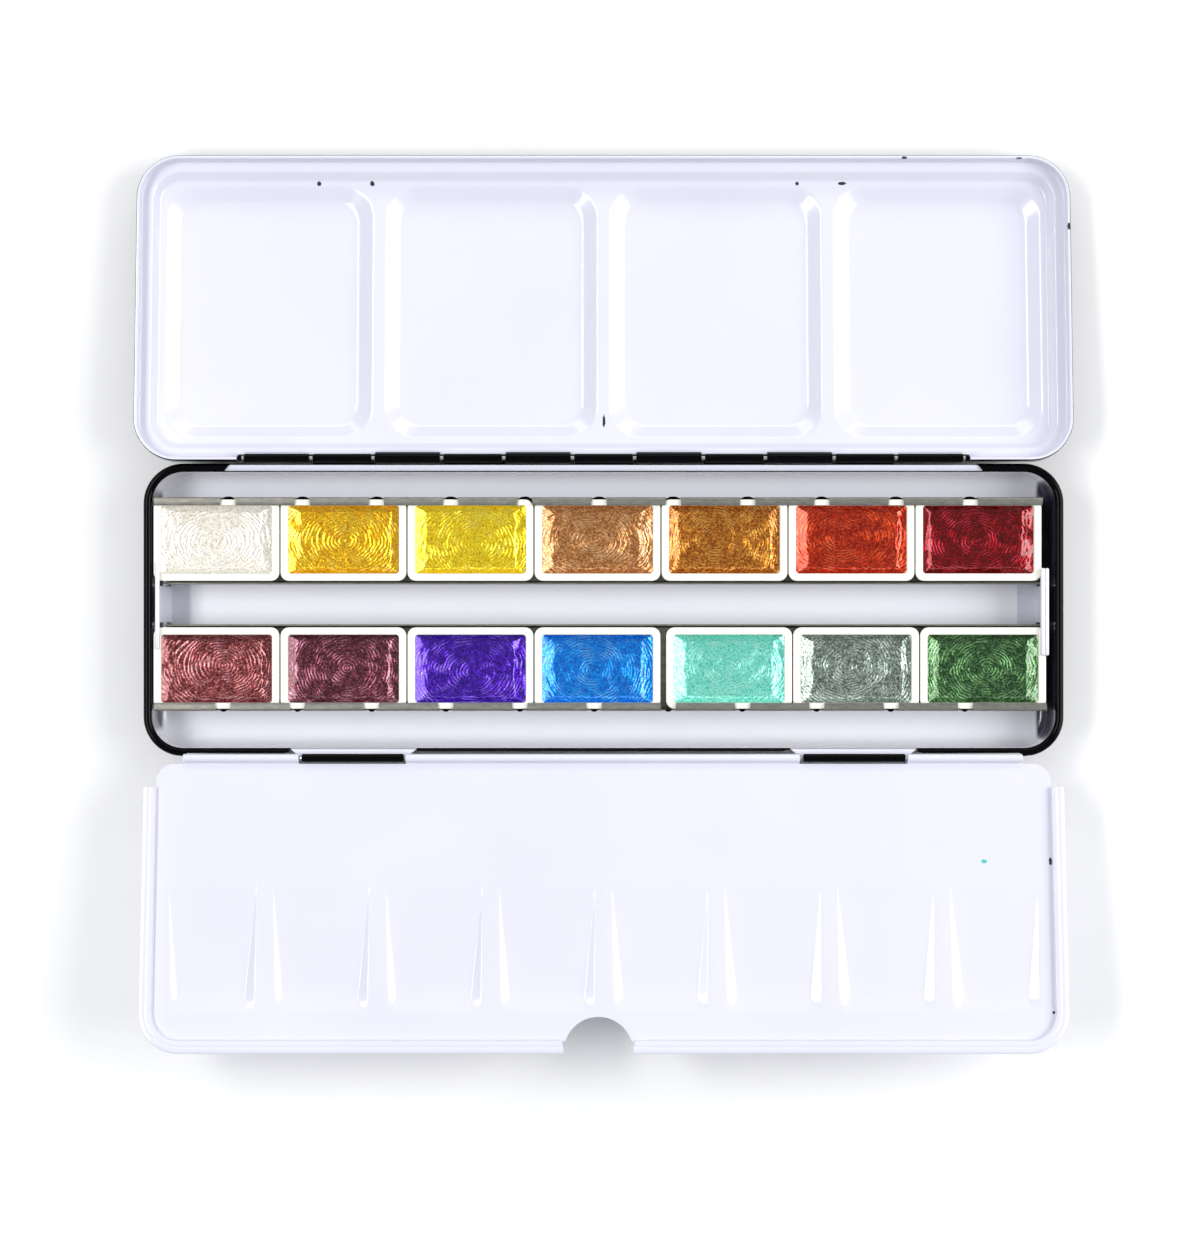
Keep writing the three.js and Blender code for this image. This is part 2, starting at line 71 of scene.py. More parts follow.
# lid
SHEET = 0.5
LID_HALF_X, LID_RADIUS = 112.25, 10.2
LID_BACK, LID_FRONT = 36.9, -37.2
LID_MIDDLE = (LID_BACK + LID_FRONT) / 2
LID_HALF_Y = (LID_BACK - LID_FRONT) / 2
LID_EDGE_END = 87.5
EDGE_Z, SHOULDER_Z, LEDGE_Z, FLOOR_Z = 12.0, 15.4, 17.8, 20.2
LID_WELLS = [(-80.9, 25.4), (-27.15, 26.0), (27.15, 26.0), (80.9, 25.4)]    # middle, half width
LID_WELL_HALF_Y = LID_HALF_Y - 5.9
SLOPE_RUN, SLOPE_STEPS = 4.6, 16
SLOPE_TOP, SLOPE_FOOT = 0.14, 0.3         # shares of the run that are rounded
FLOOR_SINK = 0.12

# palette leaf: distances along it are measured from its hinge
LEAF = {"half_x": 109.6, "length": 69.6, "radius": 9.6, "top": -0.6, "lip": 0.8, "flange": 3.1}
LEAF_SHEET = 0.4
LEAF_START, LEAF_CORNER = 1.35, 4.2       # where the sheet starts, and its corners there
LEAF_EDGE = LEAF["half_x"] - LEAF["flange"] + 0.1
LEAF_ROWS = [LEAF_START, 1.7, 4, 8, 14, 20, 26, 29.6, 30.1, 30.6, 33, 37, 42, 47, 52, 55, 56.4, 57.0,
             57.4, 57.8, 58.2, 58.6, 59.0, 59.4, 59.8, 60.0, 60.4]
STRIP_START, STRIP_END = LEAF_ROWS[-1], 66.75
WELL_PITCH, WELL_GAP, OUTER_WELL = 26.75, 2.0, (82.25, 103.0)
LEAF_WELLS = [(-OUTER_WELL[1], -OUTER_WELL[0])]
LEAF_WELLS += [(i * WELL_PITCH + WELL_GAP, (i + 1) * WELL_PITCH - WELL_GAP) for i in range(-3, 3)]
LEAF_WELLS += [OUTER_WELL]
WELL_CREASE, WELL_DEEPEST, WELL_END = 30.1, 55.5, 60.3
WELL_DEPTH, WELL_FLANK = 1.25, 2.6
# right flanks of the leaf's wells: share of the flank's width, and of the depth
CRISP_FLANK = [(1.12, 1.0), (1.0, 1.0), (0.95, 0.985), (0.88, 0.93), (0.12, 0.07), (0.05, 0.015), (0.0, 0.0)]
NOTCH_X, NOTCH_RADIUS, NOTCH_U = -1.2, 8.2, 69.2

# clip tray and pans
# hump is half the width of the black hump in each notch, which is painted shade
ROWS = {
    "rear": {"side": 1, "inner": 6.95, "rail_end": 104.9,
             "first_notch": -89.8, "wide_after": 0, "hump": 1.45},
    "front": {"side": -1, "inner": -4.15, "rail_end": 105.9,
              "first_notch": -91.0, "wide_after": 4, "hump": 0.8},
}
TRAY_Z, TIN = 0.8, 0.4
CHANNEL_HALF_X, CHANNEL_WIDTH = 105.3, 19.6
BRIDGE_INNER_X = 100.8
RAIL_START, RAIL_OUT, FINGER_REACH = -107.4, 20.0, 1.95    # fingers reach in over the pans
NOTCHES, NOTCH_PITCH, NOTCH_HALF = 11, 17.75, 1.85
GRIPS = [(-107.1, 1.0, 11.3, -9.4), (104.5, 1.9, 10.0, -10.9)]    # left side, thickness, back, front
SINGLE_FOLD = 1.5       # a thicker grip shows two folds
PAN = {"width": 30.1, "depth": 19.3, "height": 10.2, "rim": 1.75, "foot": 1.45}
PAN_PITCH, PAN_FIRST, WIDE_GAP = 30.4, -92.65, 1.1
CAKE_COLUMNS, CAKE_LINES = 104, 64

# chips in the enamel: where across and how far from the hinge, then width, length and colour
CHIP_BLACK, PAINT_FLECK = 0x26262c, 0x58c8bc
LEDGE_CHIPS = [(-69.0, 67.9, 1.0, 1.2), (-56.1, 67.9, 1.2, 1.2), (0.1, 9.7, 0.7, 3.2), (47.0, 67.9, 1.0, 1.0),
               (57.8, 67.9, 2.2, 0.8)]
HEM_CHIPS = [(72.4, 72.7, 1.3, 0.8), (100.1, 72.4, 1.7, 0.9), (111.8, 56.0, 0.8, 1.6)]
LEAF_CHIPS = [(90.3, 24.5, 1.3, 1.0, PAINT_FLECK), (106.1, 24.5, 0.7, 2.0, CHIP_BLACK),
              (106.1, 60.0, 0.7, 0.7, CHIP_BLACK)]

# paints: name, then the colour from its darkest to its shine, then how metallic it is; the two lightest also
# paint glints and highlights
PAINTS = {
    "rear": [
        ("pearl_white", 0xb1a998, 0xece6d5, 0xfbfaf7, 0xfffdf8, 0.25),
        ("deep_gold", 0xa26b00, 0xefae00, 0xfee92c, 0xffe480, 0.72),
        ("lemon_gold", 0xb48900, 0xfed806, 0xfffa44, 0xfff490, 0.72),
        ("copper_tan", 0x724022, 0xba7438, 0xfac280, 0xffdcb4, 0.72),
        ("antique_gold", 0x5c2800, 0xb25c08, 0xfab440, 0xffd878, 0.72),
        ("copper_red", 0x550500, 0xb11e00, 0xfe5418, 0xff8850, 0.72),
        ("crimson", 0x2c0000, 0x660000, 0xb40810, 0xff4c64, 0.72),
    ],
    "front": [
        ("wine_rose", 0x34070e, 0x6c2328, 0xc47874, 0xffb0b8, 0.72),
        ("plum", 0x22050c, 0x4f1825, 0xa65a6a, 0xf0a8c4, 0.72),
        ("violet", 0x16004e, 0x38049c, 0x7630f4, 0xb898ff, 0.72),
        ("azure", 0x004496, 0x0074e8, 0x00b2f6, 0x98dcff, 0.62),
        ("mint", 0x44a68d, 0x76edd1, 0xb4f6f4, 0xd0fcec, 0.55),
        ("slate_silver", 0x38433c, 0x748478, 0xd8e8da, 0xf0fcf4, 0.72),
        ("leaf_green", 0x0d210a, 0x244c27, 0x7aa86a, 0xa8f0a0, 0.72),
    ],
}

# camera: the width seen at a given distance, and where it stands
SEEN_WIDTH, SEEN_DISTANCE = 287.1, 600
CAMERA_PLACE = (-0.84, -3.6, 611.6)


def swung(place, axis, angle):
    """A point turned about a line along X through axis = (y, z)."""
    centre = Vector((0, axis[0], axis[1]))
    return Matrix.Rotation(angle, 3, "X") @ (Vector(place) - centre) + centre


def leaf_point(x, u, v):
    """A point of the leaf before it is tilted: u is the distance from its hinge, v the height above it."""
    return Vector((x, LEAF_AXIS[0] - u, LEAF_AXIS[1] + v))


# ------------------ materials
def linear(hexadecimal):
    """An sRGB colour such as 0xf0f0fa as the linear colour that a shader socket takes."""
    parts = [(hexadecimal >> shift & 255) / 255 for shift in (16, 8, 0)]
    return [p / 12.92 if p <= 0.04045 else ((p + 0.055) / 1.055) ** 2.4 for p in parts] + [1.0]


def between(first, second, low=0.3, high=0.7):
    """Colour ramp stops that run from one sRGB colour to another."""
    return [(low, linear(first)), (high, linear(second))]


class Finish:
    """A procedural material: a Principled shader whose colour, roughness and relief come from noise."""

    def __init__(self, name, **sockets):
        self.material = bpy.data.materials.new(name)
        self.material.use_nodes = True
        self.nodes = self.material.node_tree.nodes
        self.shader = self.nodes["Principled BSDF"]
        for socket, value in sockets.items():
            self.shader.inputs[socket.replace("_", " ")].default_value = value
        self.height = None

    def node(self, kind, **settings):
        """Adds a node. A setting is the value of the input of that name, or else a property."""
        made = self.nodes.new("ShaderNode" + kind)
        for key, value in settings.items():
            socket = key.replace("_", " ")
            if socket in made.inputs:
                made.inputs[socket].default_value = value
            else:
                setattr(made, key, value)
        return made

    def link(self, source, target):
        self.material.node_tree.links.new(source, target)

    def place(self):
        """Coordinates of the object, in metres."""
        return self.node("TexCoord").outputs["Object"]

    def stretched(self, stretch=(1, 1, 1)):
        """Coordinates of the object, in millimetres, stretched along its axes."""
        mapping = self.node("Mapping", Scale=[1000 * s for s in stretch])
        self.link(self.place(), mapping.inputs["Vector"])
        return mapping.outputs["Vector"]

    def centred(self, centre, radii):
        """Coordinates counted from a centre, in units of the given radii, both in millimetres."""
        mapping = self.node("Mapping", vector_type="TEXTURE", Location=[c * MM for c in centre],
                            Scale=[r * MM for r in radii])
        self.link(self.place(), mapping.inputs["Vector"])
        return mapping.outputs["Vector"]

    def noise(self, scale, detail=3, stretch=(1, 1, 1), rough=0.5):
        made = self.node("TexNoise", Scale=scale, Detail=detail, Roughness=rough)
        self.link(self.stretched(stretch), made.inputs["Vector"])
        return made.outputs["Fac"]

    def cells(self, scale):
        made = self.node("TexVoronoi", Scale=scale)
        self.link(self.stretched(), made.inputs["Vector"])
        return made.outputs["Color"]

    def ramp(self, source, stops):
        """A colour ramp over source with stops (position, colour)."""
        made = self.node("ValToRGB")
        elements = made.color_ramp.elements
        while len(elements) < len(stops):
            elements.new(0.5)
        for element, (position, colour) in zip(elements, stops):
            element.position = position
            element.color = colour
        self.link(source, made.inputs["Fac"])
        return made.outputs["Color"]

    def colour(self, source, stops):
        self.link(self.ramp(source, stops), self.shader.inputs["Base Color"])

    def tint(self, source, low, high, stops):
        """Mixes a second colour into the base colour, more and more as source goes from low to high."""
        base = self.shader.inputs["Base Color"]
        below = base.links[0].from_socket
        fade = self.node("MapRange", From_Min=low, From_Max=high)
        self.link(source, fade.inputs["Value"])
        mix = self.node("Mix", data_type="RGBA")
        colour_a, colour_b, result = mix.inputs[6], mix.inputs[7], mix.outputs[2]
        self.link(fade.outputs["Result"], mix.inputs["Factor"])
        self.link(below, colour_a)
        self.link(self.ramp(self.noise(0.3), stops), colour_b)
        self.link(result, base)

    def combine(self, operation, first, second):
        """A math node over one socket and either another socket or a number."""
        made = self.node("Math", operation=operation)
        self.link(first, made.inputs[0])
        if isinstance(second, float):
            made.inputs[1].default_value = second
        else:
            self.link(second, made.inputs[1])
        return made.outputs["Value"]

    def chip(self, place, width, length, colour):
        """A spot of another colour at place, ragged at its edge, sizes in mm."""
        ragged = self.node("TexNoise", Scale=1.3, Detail=2.0)
        self.link(self.stretched(), ragged.inputs["Vector"])
        away = self.node("VectorMath", operation="LENGTH")
        self.link(self.centred(place, (width / 2, length / 2, 1.5)), away.inputs[0])
        reach = self.combine("ADD", away.outputs["Value"], ragged.outputs["Fac"])
        self.tint(reach, 1.6, 1.4, between(colour, colour))

    def roughness(self, source, low, high):
        fade = self.node("MapRange", To_Min=low, To_Max=high)
        self.link(source, fade.inputs["Value"])
        self.link(fade.outputs["Result"], self.shader.inputs["Roughness"])

    def relief(self, source, strength, depth_mm):
        """Adds a bump of a given depth on top of those already there."""
        bump = self.node("Bump", Strength=strength, Distance=depth_mm * MM)
        self.link(source, bump.inputs["Height"])
        if self.height:
            self.link(self.height, bump.inputs["Normal"])
        self.height = bump.outputs["Normal"]
        self.link(self.height, self.shader.inputs["Normal"])


def enamel_white(name="white_enamel", dark=0xe2e2f0, light=0xe7e7f4, chips=()):
    """Glossy stoved enamel, barely uneven, with chips (place, width, length, colour) in it."""
    finish = Finish(name, Coat_Weight=0.9, Coat_Roughness=0.07)
    finish.colour(finish.noise(0.03, 2), between(dark, light, 0.15, 0.85))
    finish.roughness(finish.noise(0.06, 2), 0.23, 0.28)
    for chip in chips:
        finish.chip(*chip)
    return finish


def enamel_inside():
    """The base tin's white enamel, made lighter as painted light against the shade inside the tin, and
    darkened up its ends by painted shade, more so on the right.
    """
    painted_shade_from, painted_shade_to, shift_left = 0.1060, 0.1067, 0.0009
    # a lighter copy of the white enamel: painted light against the shade inside the tin
    finish = enamel_white("base_interior", 0xf4f4ff, 0xf8f8ff)
    split = finish.node("SeparateXYZ")
    finish.link(finish.place(), split.inputs["Vector"])
    across = finish.combine("ADD", split.outputs["X"], shift_left)
    reach = finish.node("Math", operation="ABSOLUTE")
    finish.link(across, reach.inputs[0])
    # painted shade: dark navy in the deep slots at the tin's two ends, reaching further in on the right
    finish.tint(reach.outputs["Value"], painted_shade_from, painted_shade_to, between(0x2c2c3c, 0x38384a))
    return finish


def enamel_black():
    finish = Finish("black_enamel", Specular_IOR_Level=0.1)
    finish.colour(finish.noise(0.8, 4), between(0x020203, 0x050507, 0.35, 0.75))
    finish.roughness(finish.noise(1.5, 4), 0.06, 0.11)
    finish.relief(finish.noise(0.5, 2), 0.1, 0.02)
    return finish


def tinplate(name, dark, light, low, high, metallic=1.0):
    """Sheet metal brushed along X, between two colours and between two roughnesses."""
    finish = Finish(name, Metallic=metallic, Anisotropic=0.3)
    finish.colour(finish.noise(0.5, 5, (1, 3, 3), 0.7), between(dark, light))
    finish.roughness(finish.noise(2.5, 4, (0.15, 3, 3)), low, high)
    finish.relief(finish.noise(3.0, 3, (0.08, 3, 3)), 0.3, 0.02)
    return finish


def pan_plastic():
    finish = Finish("pan_plastic", Subsurface_Weight=0.08, Subsurface_Scale=0.001)
    finish.colour(finish.noise(0.15, 3), between(0xf8f7ea, 0xfcfbf0))
    finish.roughness(finish.noise(1.0, 3), 0.32, 0.45)
    finish.relief(finish.noise(2.0, 2), 0.15, 0.02)
    return finish


def pearl_paint(name, deep, main, light, shine, metal, centre, stretch):
    """Dried watercolour full of mica, with the fine rings that a wet brush leaves round the centre (mm). Its
    lightest flecks and the rings are coloured towards its shine: painted glints and highlights over the
    mica's own colour.
    """
    finish = Finish(f"paint_{name}", Metallic=metal, Coat_Weight=0.8, Coat_Roughness=0.14, Coat_IOR=1.5)
    finish.shader.inputs["Specular Tint"].default_value = linear(shine)
    rings = finish.node("TexWave", wave_type="RINGS", rings_direction="Z",
                        Scale=0.5, Distortion=6.5, Detail=3.0, Detail_Scale=0.8)
    finish.link(finish.centred(centre, (stretch, 1, 1)), rings.inputs["Vector"])
    patches = finish.ramp(finish.noise(0.35, 4), [(0.4, (0.08, 0.08, 0.08, 1)), (0.6, (1, 1, 1, 1))])
    strokes = finish.combine("MULTIPLY", rings.outputs["Fac"], patches)
    # the mica's own colour, whose two lightest stops are painted glints
    mica_and_painted_glints = [(0.33, linear(deep)), (0.49, linear(main)), (0.67, linear(light)), (0.8, linear(shine))]
    finish.colour(finish.noise(2.0, 4, (1, 1, 1), 0.75), mica_and_painted_glints)
    finish.roughness(finish.noise(2.8, 3), 0.2, 0.36)
    # painted highlight: the brush rings coloured towards the light and shine colours
    finish.tint(strokes, 0.35, 1.35, between(light, shine))
    finish.relief(strokes, 0.6, 0.1)
    finish.relief(finish.cells(2.2), 0.25, 0.04)
    finish.relief(finish.noise(2.2, 3, (1, 1, 1), 0.6), 0.5, 0.08)
    return finish


def lid_chips():
    """The lid's chips where they lie on the opened lid."""
    chips = []
    for level, group in ((LEDGE_Z, LEDGE_CHIPS), (EDGE_Z, HEM_CHIPS)):
        for x, away, width, length in group:
            place = swung((x, LID_AXIS[0] - away, level), LID_AXIS, -LID_OPENING)
            chips.append((place, width, length, CHIP_BLACK))
    return chips


def leaf_chips():
    """The leaf's chips where they lie on the tilted leaf."""
    chips = []
    for x, away, width, length, colour in LEAF_CHIPS:
        place = swung(leaf_point(x, away, LEAF["top"]), LEAF_AXIS, -LEAF_RISE)
        chips.append((place, width, length, colour))
    return chips


WHITE = enamel_white()
LID_WHITE = enamel_white("lid_enamel", chips=lid_chips())
LEAF_WHITE = enamel_white("leaf_enamel", chips=leaf_chips())
BLACK = enamel_black()
FINGER_TIN = tinplate("bare_tinplate", 0x8f8d84, 0xb3b1a7, 0.28, 0.42)
BRIGHT_TIN = tinplate("bright_tinplate", 0xececf0, 0xf6f6f6, 0.25, 0.4, 0.15)
# necks and bridges: the same tinplate made darker and lavender, painted shade and a painted reflection of the
# white enamel round them
SHADED_BRIDGE_TIN = tinplate("bridge_tinplate_painted_shade", 0xd2d2e0, 0xdadae8, 0.3, 0.45, 0.1)
WIRE = tinplate("hinge_wire", 0xc8c8c4, 0xdededa, 0.2, 0.3)
CREAM = pan_plastic()


# ------------------ shapes
def grid_edge(rows, columns):
    """The indices round the edge of a grid of points that is stored row by row."""
    edge = list(range(columns)) + [i * columns + columns - 1 for i in range(1, rows)]
    edge += [(rows - 1) * columns + j for j in reversed(range(columns - 1))]
    return edge + [i * columns for i in reversed(range(1, rows - 1))]


class Shape:
    """Points in millimetres and the faces over them, each with a material number."""

    def __init__(self):
        self.points = []
        self.faces = []
        self.paints = []

    def add(self, points, faces, paints):
        """Adds points and faces, with one material number or one for each face."""
        first = len(self.points)
        self.points.extend(Vector(p) for p in points)
        self.faces.extend([first + i for i in face] for face in faces)
        self.paints.extend(paints if isinstance(paints, list) else [paints] * len(faces))

    def skin(self, rings, paints=0, caps=True, looped=False):
        """Faces between rings of equal count. paints is one material number, or one for each strip."""
        count = len(rings[0])
        strips = len(rings) - (0 if looped else 1)
        paints = paints if isinstance(paints, list) else [paints] * strips
        base = len(self.points)
        self.points.extend(Vector(p) for ring in rings for p in ring)
        for row in range(strips):
            lower = base + row * count
            upper = base + (row + 1) % len(rings) * count
            for i in range(count):
                j = (i + 1) % count
                self.faces.append([lower + i, lower + j, upper + j, upper + i])
                self.paints.append(paints[row])
        if caps and not looped:
            last = base + (len(rings) - 1) * count
            self.faces.append([base + i for i in reversed(range(count))])
            self.faces.append([last + i for i in range(count)])
            self.paints.extend([paints[0], paints[-1]])
        return self

    def sweep(self, stations, section, paints=0, ends=(None, None)):
        """Carries a closed section of (outward, height) points along stations (point, outward direction).

        section is a list or a function of the station's number. ends give, for the first and last
        station, a function of a section point that says how far to move it along the path.
        """
        rings = []
        for index, (place, outward) in enumerate(stations):
            along = outward.cross(UP)
            move = ends[0] if index == 0 else ends[1] if index == len(stations) - 1 else None
            rings.append([place + outward * d + UP * z + along * (move(d, z) if move else 0)
                          for d, z in (section(index) if callable(section) else section)])
        sides, count = len(rings[0]), len(rings)
        paints = paints if isinstance(paints, list) else [paints] * sides
        base = len(self.points)
        self.points.extend(ring[i] for i in range(sides) for ring in rings)
        for i in range(sides):
            lower = base + i * count
            upper = base + (i + 1) % sides * count
            for k in range(count - 1):
                self.faces.append([lower + k, lower + k + 1, upper + k + 1, upper + k])
                self.paints.append(paints[i])
        for k in (0, count - 1):
            self.faces.append([base + i * count + k for i in range(sides)])
            self.paints.append(paints[0])
        return self

    def plate(self, top, bottom):
        """A closed sheet between two grids of points of the same shape."""
        rows, columns = len(top), len(top[0])
        base = len(self.points)
        self.points.extend(Vector(p) for grid in (top, bottom) for row in grid for p in row)
        under = base + rows * columns
        for i in range(rows - 1):
            for j in range(columns - 1):
                near, far = i * columns + j, (i + 1) * columns + j
                corners = [near, near + 1, far + 1, far]
                self.faces.append([base + c for c in corners])
                self.faces.append([under + c for c in reversed(corners)])
        edge = grid_edge(rows, columns)
        for a, b in zip(edge, edge[1:] + edge[:1]):
            self.faces.append([base + b, base + a, under + a, under + b])
        self.paints.extend([0] * (len(self.faces) - len(self.paints)))

    def turn(self, axis, angle):
        """Turns everything about a line along X through axis = (y, z)."""
        self.points = [swung(p, axis, angle) for p in self.points]

    def mirrored(self):
        """Adds a copy of everything, mirrored left to right."""
        count = len(self.points)
        self.points += [Vector((-p.x, p.y, p.z)) for p in self.points]
        self.faces += [[count + i for i in reversed(face)] for face in self.faces]
        self.paints += list(self.paints)
        return self


def piece(name, shape, finishes, body, stands_for=(), crease=38):
    """Makes a shape into an object that rides on a body of the frame."""
    mesh = bpy.data.meshes.new(name)
    mesh.from_pydata([p * MM for p in shape.points], [], shape.faces)
    mesh.polygons.foreach_set("material_index", shape.paints)
    for finish in finishes:
        mesh.materials.append(finish.material)
    work = bmesh.new()
    work.from_mesh(mesh)
    bmesh.ops.recalc_face_normals(work, faces=work.faces)
    work.to_mesh(mesh)
    work.free()
    mesh.shade_smooth()
    mesh.set_sharp_from_angle(angle=math.radians(crease))
    made = bpy.data.objects.new(name, mesh)
    bpy.context.collection.objects.link(made)
    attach(made, body)
    if stands_for:
        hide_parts(*stands_for)


def rounded(half_x, half_y, radius, z, centre=(0, 0), steps=12):
    """Points round a rounded rectangle, anticlockwise from above."""
    radius = min(radius, half_x, half_y)
    points = []
    for corner in range(4):
        side_x = 1 if corner in (0, 3) else -1
        side_y = 1 if corner < 2 else -1
        for step in range(steps + 1):
            angle = (corner + step / steps) * math.pi / 2
            points.append(Vector((centre[0] + side_x * (half_x - radius) + radius * math.cos(angle),
                                  centre[1] + side_y * (half_y - radius) + radius * math.sin(angle), z)))
    return points


def arc(centre, radius, start, end, steps):
    """Points (a, b) on an arc, angles in degrees."""
    angles = [math.radians(start + (end - start) * i / steps) for i in range(steps + 1)]
    return [(centre[0] + radius * math.cos(a), centre[1] + radius * math.sin(a)) for a in angles]


def oval(centre, wide, high, step=20):
    """Points (a, b) round an oval with the given half sizes, a step of so many degrees apart."""
    angles = [math.radians(a) for a in range(0, 360, step)]
    return [(centre[0] + wide * math.cos(a), centre[1] + high * math.sin(a)) for a in angles]


def turned(profile, axis, sides):
    """Rings round a line along X through axis = (y, z), one for each (x, radius) of the profile."""
    angles = [2 * math.pi * i / sides for i in range(sides)]
    return [[(x, axis[0] + r * math.cos(a), axis[1] + r * math.sin(a)) for a in angles] for x, r in profile]


def sleeve(shape, start, end, axis, radius, bore, soft=0.18):
    """A tube along X with softened ends."""
    profile = [(start, bore), (start, radius - soft), (start + soft, radius), (start + 2 * soft, radius),
               (end - 2 * soft, radius), (end - soft, radius), (end, radius - soft), (end, bore)]
    shape.skin(turned(profile, axis, 28), looped=True)


def rod(start, end, axis, radius):
    """A round wire along X with softened ends."""
    profile = [(start, radius * 0.6), (start + 0.2, radius), (end - 0.2, radius), (end, radius * 0.6)]
    return Shape().skin(turned(profile, axis, 20))


def rail(shape, start, end, profile, paint=0, cut=lambda y, z: 0):
    """A strip along X whose section is a closed list of (y, z); cut lengthens or shortens its ends."""
    ends = ((start, -1), (end, 1))
    shape.skin([[(x + side * cut(y, z), y, z) for y, z in profile] for x, side in ends], paint)


def corner_path(half_x, half_y, radius, start_x, end_x, steps=14, straight=8):
    """Stations round the left end of a rounded rectangle, from the back at start_x to the front at end_x."""
    stations = []

    def line(a, b, outward, count, skip_last=True):
        for i in range(count + (0 if skip_last else 1)):
            stations.append((Vector(a).lerp(Vector(b), i / count), Vector(outward)))

    def bend(centre, first):
        for i in range(steps):
            angle = math.radians(first + 90 * i / steps)
            outward = Vector((math.cos(angle), math.sin(angle), 0))
            stations.append((Vector(centre) + radius * outward, outward))

    turn_x, turn_y = half_x - radius, half_y - radius
    line((start_x, half_y, 0), (-turn_x, half_y, 0), (0, 1, 0), 3)
    bend((-turn_x, turn_y, 0), 90)
    line((-half_x, turn_y, 0), (-half_x, -turn_y, 0), (-1, 0, 0), straight)
    bend((-turn_x, -turn_y, 0), 180)
    line((-turn_x, -half_y, 0), (end_x, -half_y, 0), (0, -1, 0), straight, False)
    return stations


# ------------------ base tin
def base_sheet():
    """The drawn tray. Its section lists (distance in from the edge, height), outside first, then inside."""
    outside = [(12, 0), (4.7, 0), (4.4, 0)]
    outside += list(reversed(arc((4.4, 2.9), 2.9, 180, 270, 7)))[1:]
    outside += [(1.5, 6), (1.5, 11.7)]
    inside = [(2.0, 11.7), (2.0, 6.0), (2.0, 3.4)] + arc((4.6, 3.1), 2.6, 180, 270, 8)[1:]
    inside += [(5.0, 0.5), (12, 0.5)]
    rings = [rounded(BASE["half_x"] - d, BASE["half_y"] - d, max(BASE["radius"] - d, 3), z)
             for d, z in outside + inside]
    shape = Shape().skin(rings, [0] * len(outside) + [1] * (len(inside) - 1))
    piece("base_sheet", shape, [BLACK, enamel_inside()], "base", ["base_tin"])


def base_rim():
    """The rolled rim: full round at the ends, a narrow hem along the front, a gap at each front knuckle."""
    half_x, half_y, radius = [BASE[key] - RIM_RADIUS for key in ("half_x", "half_y", "radius")]
    to_front = Vector((0, -1, 0))
    pinched = 0.35

    def faces_front(outward):
        return outward.y < -0.99

    path = corner_path(half_x, half_y, radius, -SHELF_END, HEM_END)
    stations = [(place, outward) for place, outward in path if not faces_front(outward)]
    stations += [(Vector((x, -half_y, 0)), to_front) for x in HEM_XS]

    def rim_section(station):
        place, outward = stations[station]
        hem = min(max((place.x - HEM_START) / HEM_RUN, 0), 1) if faces_front(outward) else 0
        end = pinched if station == len(stations) - 1 else 1
        wide, high = (1.0 - 0.5 * hem) * end, (1.0 - 0.45 * hem) * (0.5 + end / 2)
        return oval((-0.25 * hem, 11.8 + 0.3 * hem), wide, high)

    def hem_section(station):
        end = pinched if station in (0, len(MIDDLE_HEM_XS) - 1) else 1
        return oval((-0.45, 12.1), 0.24 * end, 0.5 * (0.5 + end / 2))

    rim = Shape().sweep(stations, rim_section, 0, (lambda d, z: 0.9 * d, None)).mirrored()
    rim.sweep([(Vector((x, -half_y, 0)), to_front) for x in MIDDLE_HEM_XS], hem_section)
    piece("base_rim", rim, [BLACK], "base")


def base_shelf():
    """The white shelf along the back, and the tabs under the front knuckles."""
    shelf = Shape()
    back = arc((34.4, 10.9), 1.4, 180, 90, 9)
    back += [(34.62, 12.3), (34.68, 12.2), (34.68, 11.95), (34.2, 11.9), (33.6, 11.2), (33.45, 10.9)]
    rail(shelf, -SHELF_END, SHELF_END, back, 0, lambda y, z: 1.5 * (34.2 - y))
    front = [(-y, z) for y, z in arc((34.2, 11.2), 1.2, 180, 90, 9)]
    front += [(-34.9, 12.65), (-35.2, 12.75), (-35.2, 12.4), (-34.2, 12.0), (-33.6, 11.5), (-33.45, 11.2)]
    for centre in (-FRONT_KNUCKLE_X, FRONT_KNUCKLE_X):
        rail(shelf, centre - FRONT_TAB_HALF, centre + FRONT_TAB_HALF, front, 0, lambda y, z: 1.2 * (33.6 + y))
    piece("base_shelf", shelf, [WHITE], "base")


def base_hinges():
    """The tin's knuckles, and the wires through both hinges."""
    knuckles = Shape()
    strap = [(34.7, 11.93), (34.7, 12.25), (36.0, 12.25), (36.0, 11.93)]
    for x in BACK_KNUCKLE_XS:
        sleeve(knuckles, x - 7, x + 7, LID_AXIS, 1.05, 0.55)
        rail(knuckles, x - 6.9, x + 6.9, strap)
    for centre in (-FRONT_KNUCKLE_X, FRONT_KNUCKLE_X):
        sleeve(knuckles, centre - FRONT_KNUCKLE_HALF, centre + FRONT_KNUCKLE_HALF, LEAF_AXIS, 1.0, 0.5)
    piece("base_knuckles", knuckles, [BLACK], "base")
    lid_pin = rod(-87.2, 87.2, LID_AXIS, 0.45)
    piece("lid_pin_wire", lid_pin, [WIRE], "base", ["lid_hinge_pin"])
    leaf_pin = rod(-100.1, 99.7, LEAF_AXIS, 0.35)
    piece("leaf_pin_wire", leaf_pin, [WIRE], "base", ["leaf_hinge_pin"])


# ------------------ lid
def lid_outline(inset, z):
    return rounded(LID_HALF_X - inset, LID_HALF_Y - inset, max(LID_RADIUS - inset, 4), z, (0, LID_MIDDLE))


